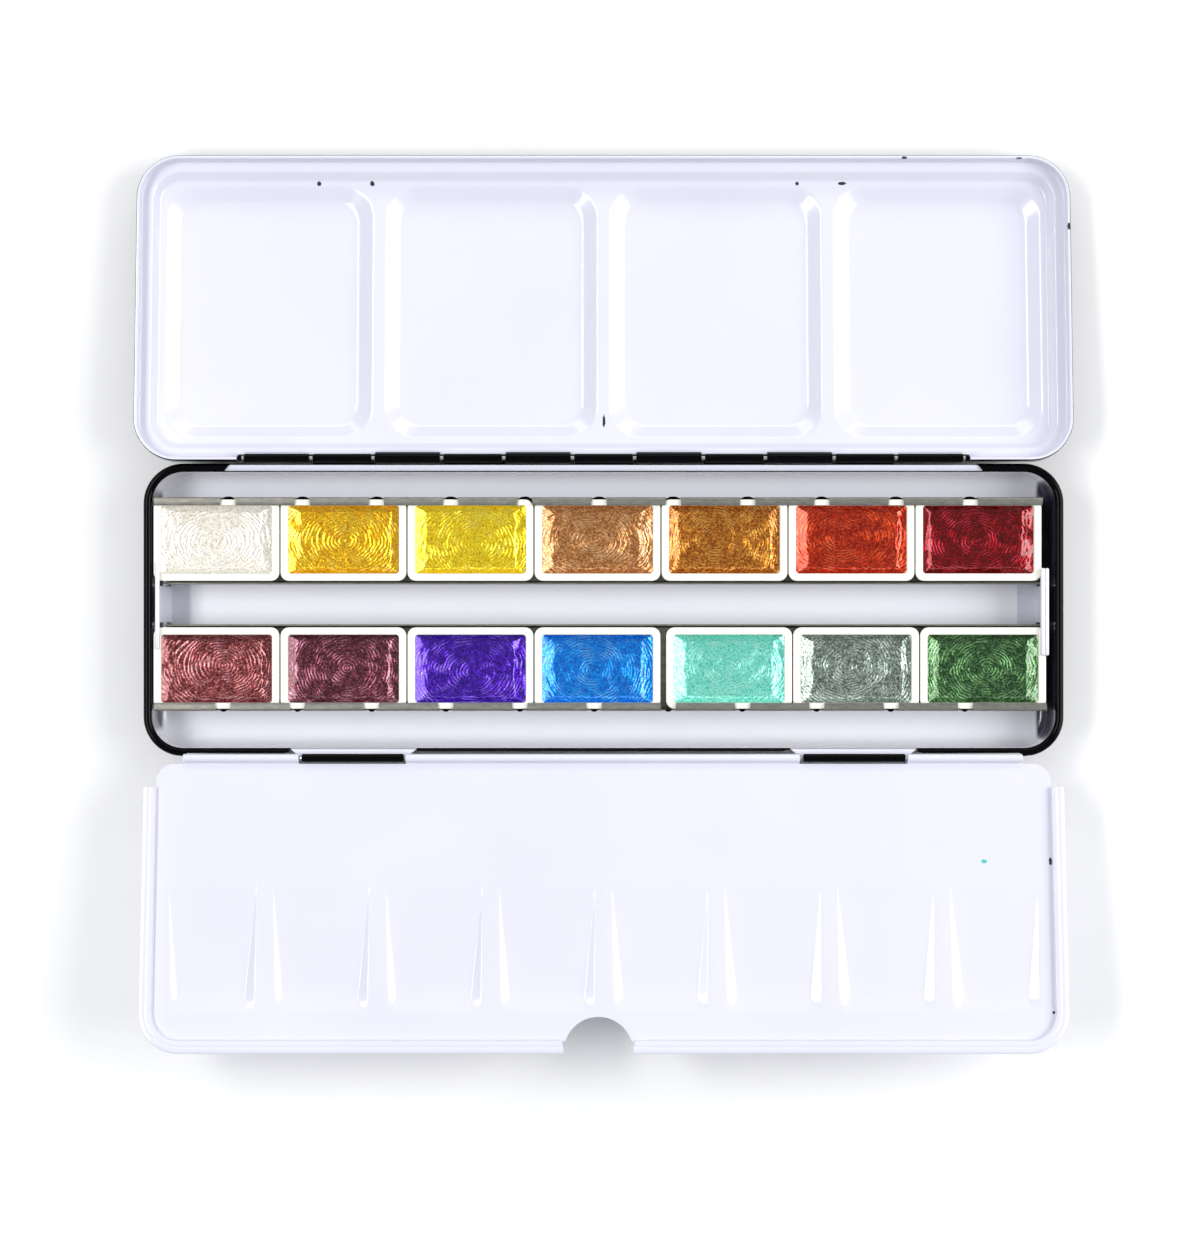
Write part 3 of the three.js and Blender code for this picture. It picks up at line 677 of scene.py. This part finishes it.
def well_slope():
    """(inset, share of the depth) down a mixing well's side: even, but rounded over at its top and foot."""
    total = 1 - SLOPE_TOP / 2 - SLOPE_FOOT / 2
    slope = []
    for step in range(SLOPE_STEPS + 1):
        across = step / SLOPE_STEPS
        if across < SLOPE_TOP:
            fall = across * across / (2 * SLOPE_TOP)
        elif across < 1 - SLOPE_FOOT:
            fall = across - SLOPE_TOP / 2
        else:
            fall = total - (1 - across) ** 2 / (2 * SLOPE_FOOT)
        slope.append((SLOPE_RUN * across, fall / total))
    return slope


def mixing_well(x, half_width, lift, grow):
    """Rings down a well's side and in over its floor, which sinks a little towards its middle."""
    floor = FLOOR_Z - FLOOR_SINK
    centre = (x, LID_MIDDLE)
    rings = []
    for inset, fall in well_slope():
        z = LEDGE_Z + (floor - LEDGE_Z) * fall + lift
        wider = grow * (1 - fall * 0.5) - inset
        rings.append(rounded(half_width + wider, LID_WELL_HALF_Y + wider, 7.5 - inset * 0.5, z, centre))
    for inset, sink in ((0.8, 0.01), (3, 0.04), (7, 0.09), (13, FLOOR_SINK)):
        rings.append(rounded(half_width - SLOPE_RUN - inset, LID_WELL_HALF_Y - SLOPE_RUN - inset,
                             max(5.5 - inset * 0.4, 1.5), floor + sink + lift, centre))
    return rings


def lid_skirt():
    """The skirt and hemmed edge, from one end of the hinge round to the other, white inside."""
    inside = [(-2.0, SHOULDER_Z), (-1.2, SHOULDER_Z), (-0.95, SHOULDER_Z - 0.06), (-0.78, SHOULDER_Z - 0.25),
              (-0.72, SHOULDER_Z - 0.6), (-0.72, 13.2), (-0.85, 12.7), (-0.85, 12.3), (-0.7, 12.05),
              (-0.45, EDGE_Z)]
    outside = [(-0.2, 12.05), (-0.02, 12.3), (0.0, 12.8), (0.0, 15.2), (-0.1, 15.6), (-0.35, 15.85),
               (-0.7, 15.9), (-2.0, 15.9)]
    stations = corner_path(LID_HALF_X, LID_HALF_Y, LID_RADIUS, -LID_EDGE_END, 0.0)
    stations = [(place + Vector((0, LID_MIDDLE, 0)), outward) for place, outward in stations]
    return Shape().sweep(stations, inside + outside, [1] * len(inside) + [0] * len(outside)).mirrored()


def lid_sheet():
    """The pressed sheet, drawn shut: black above, and white below, where it shows when the lid is open."""
    shape = Shape()
    inner = [(2.0, SHOULDER_Z), (3.0, SHOULDER_Z)]
    inner += [(3.0 + 0.6 * math.sin(a), SHOULDER_Z + 0.6 * (1 - math.cos(a))) for a in (0.25, 0.55, 0.85)]
    inner += [(4.6, LEDGE_Z - 0.45), (4.85, LEDGE_Z - 0.16), (5.2, LEDGE_Z), (5.5, LEDGE_Z)]
    outer = [(2.0, SHOULDER_Z + SHEET)] + [(d + 0.12, z + SHEET) for d, z in inner[1:]]
    below = [lid_outline(d, z) for d, z in inner]
    above = [lid_outline(d, z) for d, z in outer]
    shape.skin(below[::-1] + above, [1] * (len(below) - 1) + [0] * len(above), caps=False)

    for lift, rim, paint in ((0.0, below[-1], 1), (SHEET, above[-1], 0)):
        wells = [mixing_well(x, half_width, lift, 0.15 if lift else 0) for x, half_width in LID_WELLS]
        loops = [rim] + [rings[0] for rings in wells]
        shape.add([p for loop in loops for p in loop], tessellate_polygon(loops), paint)
        for rings in wells:
            shape.skin(rings, paint, caps=False)
            count = len(rings[0])
            shape.faces.append([len(shape.points) - count + i for i in range(count)])
            shape.paints.append(paint)

    skirt = lid_skirt()
    shape.add(skirt.points, skirt.faces, skirt.paints)

    # the sheet's edge along the hinge turns down to the knuckles
    riser = [(34.9, SHOULDER_Z), (34.92, SHOULDER_Z - 0.3), (34.85, 14.6), (34.85, 13.6), (35.25, 13.6),
             (35.25, 15.5), (35.15, 15.8), (34.9, 15.9)]
    rail(shape, -LID_EDGE_END, LID_EDGE_END, riser, 1)
    shape.turn(LID_AXIS, -LID_OPENING)
    piece("lid_sheet", shape, [BLACK, LID_WHITE], "lid", ["lid_shell"])


def lid_knuckles():
    """Six knuckles with their straps, thinner at both ends, and a collar at each end of the pin."""
    knuckles = Shape()
    for x in LID_KNUCKLE_XS:
        outermost = x in (LID_KNUCKLE_XS[0], LID_KNUCKLE_XS[-1])
        radius = 1.08 if outermost else 1.3
        sleeve(knuckles, x - 7.8, x + 7.8, LID_AXIS, radius, 0.55)
        top = LID_AXIS[1] + radius
        strap = [(34.8, top - 0.4), (34.8, top), (36.3, top), (36.3, top - 0.4)]
        if not outermost:
            strap = [(34.72, 13.4), (34.72, 14.9), (34.84, 14.9), (34.84, top), (36.3, top),
                     (36.3, top - 0.4), (35.2, top - 0.4), (35.2, 13.4)]
        rail(knuckles, x - 7.7, x + 7.7, strap)
    for centre in (-86.9, 86.9):
        sleeve(knuckles, centre - 0.5, centre + 0.5, LID_AXIS, 0.8, 0.5)
    knuckles.turn(LID_AXIS, -LID_OPENING)
    piece("lid_knuckles", knuckles, [BLACK], "lid")


# ------------------ palette leaf
def notch_edge(u):
    """Half the width of the thumb notch at a distance u from the hinge."""
    return math.sqrt(max(NOTCH_RADIUS ** 2 - (u - NOTCH_U) ** 2, 0))


def well_ramp(u):
    """The share of a well's depth at u: a long ramp down from the crease, then a short rounded rise."""
    if u <= WELL_CREASE:
        return 0.0
    if u <= WELL_DEEPEST:
        return (u - WELL_CREASE) / (WELL_DEEPEST - WELL_CREASE)
    return 0.5 + 0.5 * math.cos(math.pi * min((u - WELL_DEEPEST) / (WELL_END - WELL_DEEPEST), 1))


def leaf_columns(u):
    """(x, share of the depth) across the leaf at u. Left flanks roll in softly, right ones are crisp."""
    width = WELL_FLANK * min(max((u - WELL_CREASE) / (WELL_DEEPEST - WELL_CREASE), 0.06), 1)
    line = []
    for start, end in LEAF_WELLS:
        line += [(start + 1.25 * width * k / 6 - 0.1, (1 - math.cos(math.pi * k / 6)) / 2) for k in range(7)]
        line += [(start + (end - start) * share, 1.0) for share in (0.3, 0.5, 0.7)]
        line += [(end - width * across, fall) for across, fall in CRISP_FLANK]
    margin = [(-LEAF_EDGE + d, 0) for d in (0, 0.3, 1.2, 2.4)]
    return margin + line + [(-x, share) for x, share in reversed(margin)]


def leaf_start(x):
    """Where the sheet begins beside the hinge, with its two corners rounded."""
    reach = abs(x) - (LEAF_EDGE - LEAF_CORNER)
    return LEAF_START + (LEAF_CORNER - math.sqrt(max(LEAF_CORNER ** 2 - reach ** 2, 0)) if reach > 0 else 0)


def leaf_plate(shape, grid):
    """A sheet whose upper side goes through a grid of (x, u, v)."""
    shape.plate([[leaf_point(x, u, v) for x, u, v in line] for line in grid],
                [[leaf_point(x, u, v - LEAF_SHEET) for x, u, v in line] for line in grid])


def leaf_wells(shape):
    """The sheet from its hinge to the far side of the wells."""
    grid = []
    for u in LEAF_ROWS:
        drop = WELL_DEPTH * well_ramp(u)
        grid.append([(x, max(u, leaf_start(x)), LEAF["top"] - drop * share) for x, share in leaf_columns(u)])
    leaf_plate(shape, grid)


def leaf_strip(shape):
    """The strip beyond the wells, cut by the thumb notch."""
    reach = notch_edge(STRIP_END)
    bite = [NOTCH_X + NOTCH_RADIUS * math.cos(math.radians(a)) for a in range(180, -1, -6)]
    bite = [x for x in bite if abs(x - NOTCH_X) < reach - 0.05]
    xs = [-LEAF_EDGE, -LEAF_EDGE + 0.2, -100, -80, -50, -20, NOTCH_X - reach - 1, NOTCH_X - reach] + bite
    xs += [NOTCH_X + reach, NOTCH_X + reach + 1, 20, 50, 80, 100, LEAF_EDGE - 0.2, LEAF_EDGE]

    def end_at(x):
        if abs(x - NOTCH_X) > reach + 0.01:
            return STRIP_END
        return NOTCH_U - math.sqrt(max(NOTCH_RADIUS ** 2 - (x - NOTCH_X) ** 2, 0))

    leaf_plate(shape, [[(x, STRIP_START + (end_at(x) - STRIP_START) * share, LEAF["top"]) for x in xs]
                       for share in (0, 0.5, 1)])


def leaf_flange(shape, side):
    """Half of the rolled flange, along one end and round its corner to the notch."""
    half, front, radius = LEAF["half_x"], LEAF["length"], LEAF["radius"]
    flange, top, lip = LEAF["flange"], LEAF["top"], LEAF["lip"]
    section = [(-flange - 0.35, top - 0.1), (-flange - 0.15, top + 0.03), (-flange + 0.04, top + 0.3),
               (-flange + 0.06, lip - 0.45), (-flange + 0.18, lip - 0.16), (-flange + 0.5, lip - 0.02),
               (-2.2, lip), (-1.75, lip - 0.03), (-1.62, lip - 0.09), (-1.5, lip - 0.03), (-1.1, lip),
               (-0.75, lip - 0.02), (-0.3, lip - 0.14), (-0.07, lip - 0.4), (0.0, lip - 0.75),
               (-0.06, lip - 1.1), (-0.5, lip - 1.12), (-2.4, top + 0.45), (-2.55, top - 0.2),
               (-2.7, top - 0.4), (-flange - 0.35, top - 0.3)]
    stations = [(leaf_point(side * half, u, 0), Vector((side, 0, 0)))
                for u in (7.0, 7.3, 15, 30, 45, front - radius)]
    for step in range(1, 15):
        angle = math.radians(90 * step / 15)
        outward = Vector((side * math.cos(angle), -math.sin(angle), 0))
        stations.append((leaf_point(side * (half - radius), front - radius, 0) + radius * outward, outward))
    stop = NOTCH_X + side * NOTCH_RADIUS
    for x in (side * (half - radius), side * 80, side * 50, side * 20, stop + side * 1.0, stop):
        stations.append((leaf_point(x, front, 0), Vector((0, -1, 0))))

    def at_notch(d, z):
        short = NOTCH_RADIUS - notch_edge(front + d)
        return short if side < 0 else -short

    shape.sweep(stations, section, 0, (None, at_notch))


def leaf():
    shape = Shape()
    leaf_wells(shape)
    leaf_strip(shape)
    for side in (-1, 1):
        leaf_flange(shape, side)
    tab = [(LEAF_AXIS[0] - away, LEAF_AXIS[1] - below)
           for away, below in ((0, 1.0), (0.9, 1.0), (2.4, 1.0), (2.4, 0.62), (0.9, 0.62), (0, 0.55))]
    for start, end in LEAF_BARRELS:
        sleeve(shape, start, end, LEAF_AXIS, 1.0, 0.45)
        rail(shape, start + 0.05, end - 0.05, tab)
    shape.turn(LEAF_AXIS, -LEAF_RISE)
    piece("leaf_sheet", shape, [LEAF_WHITE], "leaf", ["palette_leaf"], crease=32)


# ------------------ clip tray
def tray_row(channels, fingers, notch_shades, row):
    """One row's channel, the rail of folded fingers along its outer side, and a black hump in each notch,
    painted shade at the notch's edge.
    """
    side, inner = row["side"], row["inner"]

    def section(points):
        return [(inner + side * d, z) for d, z in points]

    end = CHANNEL_WIDTH + TIN
    rail(channels, -CHANNEL_HALF_X, CHANNEL_HALF_X, section([
        (-0.7, TRAY_Z + 0.5), (-0.55, TRAY_Z + 0.1), (-0.2, TRAY_Z), (end - 0.5, TRAY_Z),
        (end - 0.1, TRAY_Z + 0.1), (end, TRAY_Z + 0.5), (end, 8.9), (end - 0.1, 9.0), (end - 0.3, 9.0),
        (end - 0.4, 8.9), (end - 0.4, TRAY_Z + 0.7), (end - 0.7, TRAY_Z + 0.4), (0.1, TRAY_Z + 0.4),
        (-0.3, TRAY_Z + 0.8), (-0.3, 8.9), (-0.4, 9.0), (-0.6, 9.0), (-0.7, 8.9)]))

    out = RAIL_OUT
    finger = section([
        (out, 8.8), (out, 11.85), (out - 0.06, 12.06), (out - 0.2, 12.22), (out - 0.42, 12.3),
        (out - 1.0, 12.28), (out - 1.75, 12.24), (out - 1.9, 12.16), (out - FINGER_REACH, 12.02),
        (out - 1.86, 11.93), (out - 0.6, 11.9), (out - 0.42, 11.8), (out - 0.4, 11.6), (out - 0.4, 8.8)])
    tip = inner + side * (out - FINGER_REACH)

    def slant(y, z):
        return 0.12 * min(abs(y - tip) / 1.5, 1)

    notches = [row["first_notch"] + i * NOTCH_PITCH for i in range(NOTCHES)]
    starts = [RAIL_START] + [x + NOTCH_HALF for x in notches]
    ends = [x - NOTCH_HALF for x in notches] + [row["rail_end"]]
    for start, stop in zip(starts, ends):
        rail(fingers, start, stop, finger, 0, slant)
    # a black hump in each notch: painted shade
    for x in notches:
        bump = [(x + row["hump"] * a, 0.36 * b) for a, b in arc((0, 0), 1, 0, 180, 12)]
        levels = (8.9, 10.8, 11.1)
        notch_shades.skin([[(px, inner + side * (out - 0.35 + d * 1.6), z) for px, d in bump] for z in levels])


def tray_grip(shape, left, thick, back, front):
    """An upright neck that leans out from the tray's end, and the hemmed bar on top of it."""
    side = math.copysign(1, left)
    bar_x = left + thick / 2
    lean = [(side * 105.2, 1.1), (side * 105.45, 1.5), (bar_x * 0.4 + side * 105.5 * 0.6, 7.0), (bar_x, 10.8),
            (bar_x, 11.9)]
    # the neck takes the darker lavender tinplate: painted shade
    shape.skin([rounded(0.2, 4.4, 0.15, z, (x, 1.4), 3) for x, z in lean], 1)
    folds = [(left, thick)] if thick < SINGLE_FOLD else [(left, 0.9), (left + 1.0, 0.9)]
    half_y = (back - front) / 2
    for start, width in folds:
        centre = (start + width / 2, (back + front) / 2)
        bar = [(0.12, 11.7), (0, 11.82), (0, 12.65), (0.06, 12.83), (0.2, 12.95)]
        shape.skin([rounded(width / 2 - d, half_y - d, 0.3, z, centre, 3) for d, z in bar])


def tray():
    channels, fingers, notch_shades, grips = Shape(), Shape(), Shape(), Shape()
    for row in ROWS.values():
        tray_row(channels, fingers, notch_shades, row)
    # bridges at the tray's ends, in the darker lavender tinplate: painted shade
    bridge = [(-4.5, TRAY_Z), (7.3, TRAY_Z), (7.3, TRAY_Z + TIN), (-4.5, TRAY_Z + TIN)]
    for start, end in ((-CHANNEL_HALF_X, -BRIDGE_INNER_X), (BRIDGE_INNER_X, CHANNEL_HALF_X)):
        rail(channels, start, end, bridge, 1)
    for grip in GRIPS:
        tray_grip(grips, *grip)
    piece("tray_channels", channels, [FINGER_TIN, SHADED_BRIDGE_TIN], "tray", ["pan_tray"])
    piece("tray_fingers", fingers, [FINGER_TIN], "tray",
          ["rear_clip_rail", "front_clip_rail"])
    # the black humps are painted shade beside the notches
    piece("tray_humps", notch_shades, [BLACK], "tray")
    piece("tray_grips", grips, [BRIGHT_TIN, SHADED_BRIDGE_TIN], "tray",
          ["left_grip_tab", "right_grip_tab"])


# ------------------ pans and paint
def rail_side(inset):
    """How far out a pan's wall beside its clip rail is moved: its inner face more, so the rim is thin."""
    return 0.2 + 0.2 * min(inset, PAN["rim"])


def pan(body, x, y, side):
    """A moulded cup, tapered and open: rings of (inset, corner radius, height above its foot)."""
    half_x, half_y, height, rim = PAN["width"] / 2, PAN["depth"] / 2, PAN["height"], PAN["rim"]
    profile = [(4, 1.2, 0.25), (2.3, 1.2, 0.25), (2.2, 1.2, 0.0), (1.35, 1.5, 0.0), (1.0, 1.6, 0.15),
               (0.85, 1.8, 0.5), (0.1, 2.0, height - 1.2), (0.0, 2.0, height - 0.6),
               (0.0, 2.0, height - 0.22), (0.07, 1.95, height - 0.07), (0.22, 1.85, height),
               (0.4, 1.7, height), (rim - 0.3, 0.9, height), (rim - 0.12, 0.8, height - 0.03),
               (rim, 0.75, height - 0.16), (rim + 0.02, 0.75, height - 0.4),
               (rim + 0.85, 0.8, 1.7), (rim + 1.2, 0.9, 1.35), (rim + 1.6, 1.0, 1.3), (rim + 3, 1.0, 1.3)]
    rings = []
    for inset, radius, z in profile:
        more = rail_side(inset) / 2
        centre = (x, y + side * more)
        rings.append(rounded(half_x - inset, half_y - inset + more, radius, PAN["foot"] + z, centre, 6))
    piece(f"{body}_cup", Shape().skin(rings), [CREAM], body, [body])


def cake(node, x, y, side, body, colour, shades, seed):
    """A cake of paint: its edges climb the walls, and a round brush has left grooves in its middle."""
    rng = random.Random(seed)
    more = rail_side(PAN["rim"])
    half_x, half_y = PAN["width"] / 2 - 1.84, PAN["depth"] / 2 - 1.84 + more / 2
    y += side * more / 2
    top = PAN["foot"] + PAN["height"] - 0.85
    swirl = Vector((rng.uniform(-2.5, 2.5), rng.uniform(-1.0, 1.0), 0))
    stretch = rng.uniform(1.1, 1.45)
    pitch = rng.uniform(0.65, 1.0)
    groove = rng.uniform(0.09, 0.2)
    phase = rng.uniform(0, 6)
    bank = rng.uniform(2.2, 3.2), rng.uniform(2.2, 3.2)
    drift = Vector((rng.uniform(0, 90), rng.uniform(0, 90), rng.uniform(0, 90)))
    finish = pearl_paint(colour, *shades, (x + swirl.x, y + swirl.y, top), stretch)

    def rough(px, py, layer, scale):
        """Smooth noise over the cake; each layer is a pattern of its own."""
        return noise.noise(Vector((px, py, layer)) * scale + drift)

    def height(px, py):
        inside = min((half_x - abs(px)) / bank[px > 0], (half_y - abs(py)) / 1.5)
        wobble = 0.25 * rough(px, py, 0, 0.3) + 0.08 * rough(px, py, 5, 0.9)
        climb = max(0.0, 1 - max(inside + wobble * min(inside * 2, 1), 0))
        fall = 1.3 * (1 - climb ** 1.25)
        dish = 0.25 * (1 - (px / half_x) ** 2) * (1 - (py / half_y) ** 2)
        away = Vector(((px - swirl.x) / stretch, py - swirl.y, 0))
        turns = math.atan2(away.y, away.x) / (2 * math.pi)
        spiral = away.length + 0.9 * rough(px, py, 3, 0.22) + turns * pitch
        ring = 0.5 + 0.5 * math.sin(spiral / pitch * 2 * math.pi + phase)
        patch = min(max(0.25 + 1.5 * rough(px, py, 7, 0.25), 0.05), 1)
        depth = groove * patch * min(inside * 2.5, 1)
        fine = 0.035 * noise.noise(Vector((px * 1.1, py * 1.1, 11)) + drift)
        return top - fall - dish - depth * ring ** 2 + fine * min(inside * 2, 1)

    def spread(i, count):
        """Finer at the edges, where the paint climbs."""
        t = 2 * i / count - 1
        return 0.55 * t + 0.45 * math.sin(t * math.pi / 2)

    shape = Shape()
    for j in range(CAKE_LINES + 1):
        py = half_y * spread(j, CAKE_LINES)
        for i in range(CAKE_COLUMNS + 1):
            px = half_x * spread(i, CAKE_COLUMNS)
            shape.points.append(Vector((x + px, y + py, height(px, py))))
    width = CAKE_COLUMNS + 1
    for j in range(CAKE_LINES):
        for i in range(CAKE_COLUMNS):
            near, far = j * width + i, (j + 1) * width + i
            shape.faces.append([near, near + 1, far + 1, far])

    # sides that taper down into the cup, and a flat underside
    edge = grid_edge(CAKE_LINES + 1, width)
    first, count = len(shape.points), len(edge)
    floor = PAN["foot"] + 1.6
    for i in edge:
        p = shape.points[i]
        shape.points.append(Vector((x + (p.x - x) * 0.955, y + (p.y - y) * 0.93, floor)))
    for i in range(count):
        j = (i + 1) % count
        shape.faces.append([edge[j], edge[i], first + i, first + j])
    shape.faces.append([first + i for i in reversed(range(count))])
    shape.paints = [0] * len(shape.faces)
    piece(f"{node}_cake", shape, [finish], body, [node], crease=60)


def pans():
    """Two rows of seven pans, each with its cake. The front row has a wider gap in its middle."""
    for row_name, colours in PAINTS.items():
        row = ROWS[row_name]
        y = row["inner"] + row["side"] * PAN["depth"] / 2
        for index, (colour, *shades) in enumerate(colours):
            x = PAN_FIRST + PAN_PITCH * index + (WIDE_GAP if 0 < row["wide_after"] <= index else 0)
            body = f"{row_name}_pan_{index + 1}"
            pan(body, x, y, row["side"])
            cake(f"{row_name}_paint_{index + 1}", x, y, row["side"], body, colour, shades,
                 seed=len(row_name) * 100 + index)


# ------------------ studio
def paper_floor():
    """A plain floor, a hair below the tin so that the two never touch."""
    reach, drop = 3.0, 0.00005
    mesh = bpy.data.meshes.new("floor")
    corners = [(-reach, -reach, -drop), (reach, -reach, -drop), (reach, reach, -drop), (-reach, reach, -drop)]
    mesh.from_pydata(corners, [], [[0, 1, 2, 3]])
    ground = bpy.data.objects.new("floor", mesh)
    paper = Finish("paper", Roughness=0.9, Specular_IOR_Level=0.1)
    paper.colour(paper.noise(0.01, 2), between(0xfbfbfb, 0xfdfdfd))
    mesh.materials.append(paper.material)
    bpy.context.collection.objects.link(ground)


def softbox(name, place, size, power):
    """A rectangular light aimed at the origin: size is how wide it is, then how tall, in metres."""
    light = bpy.data.lights.new(name, "AREA")
    light.shape = "RECTANGLE"
    light.size, light.size_y = size
    light.energy = power
    lamp = bpy.data.objects.new(name, light)
    lamp.location = place
    lamp.rotation_euler = Vector(place).to_track_quat("Z", "Y").to_euler()
    bpy.context.collection.objects.link(lamp)


def studio():
    scene = bpy.context.scene
    scene.view_settings.view_transform = "Standard"
    paper_floor()

    world = bpy.data.worlds.new("studio")
    world.use_nodes = True
    backdrop = world.node_tree.nodes["Background"]
    backdrop.inputs["Color"].default_value = (0.92, 0.94, 1.0, 1.0)
    backdrop.inputs["Strength"].default_value = 0.38
    scene.world = world

    softbox("left", (-0.5, 0.04, 0.7), (0.62, 0.2), 3.8)
    softbox("right", (0.7, 0.04, 0.52), (0.62, 0.55), 5.3)
    softbox("back", (0.0, 1.1, 0.6), (1.8, 0.3), 4.0)

    lens = bpy.data.cameras.new("camera")
    lens.sensor_fit = "HORIZONTAL"
    lens.angle_x = 2 * math.atan(SEEN_WIDTH / 2 / SEEN_DISTANCE)
    lens.clip_start = 0.01
    camera = bpy.data.objects.new("camera", lens)
    camera.location = Vector(CAMERA_PLACE) * MM
    bpy.context.collection.objects.link(camera)
    scene.camera = camera


base_sheet()
base_rim()
base_shelf()
base_hinges()
lid_sheet()
lid_knuckles()
leaf()
tray()
pans()
studio()
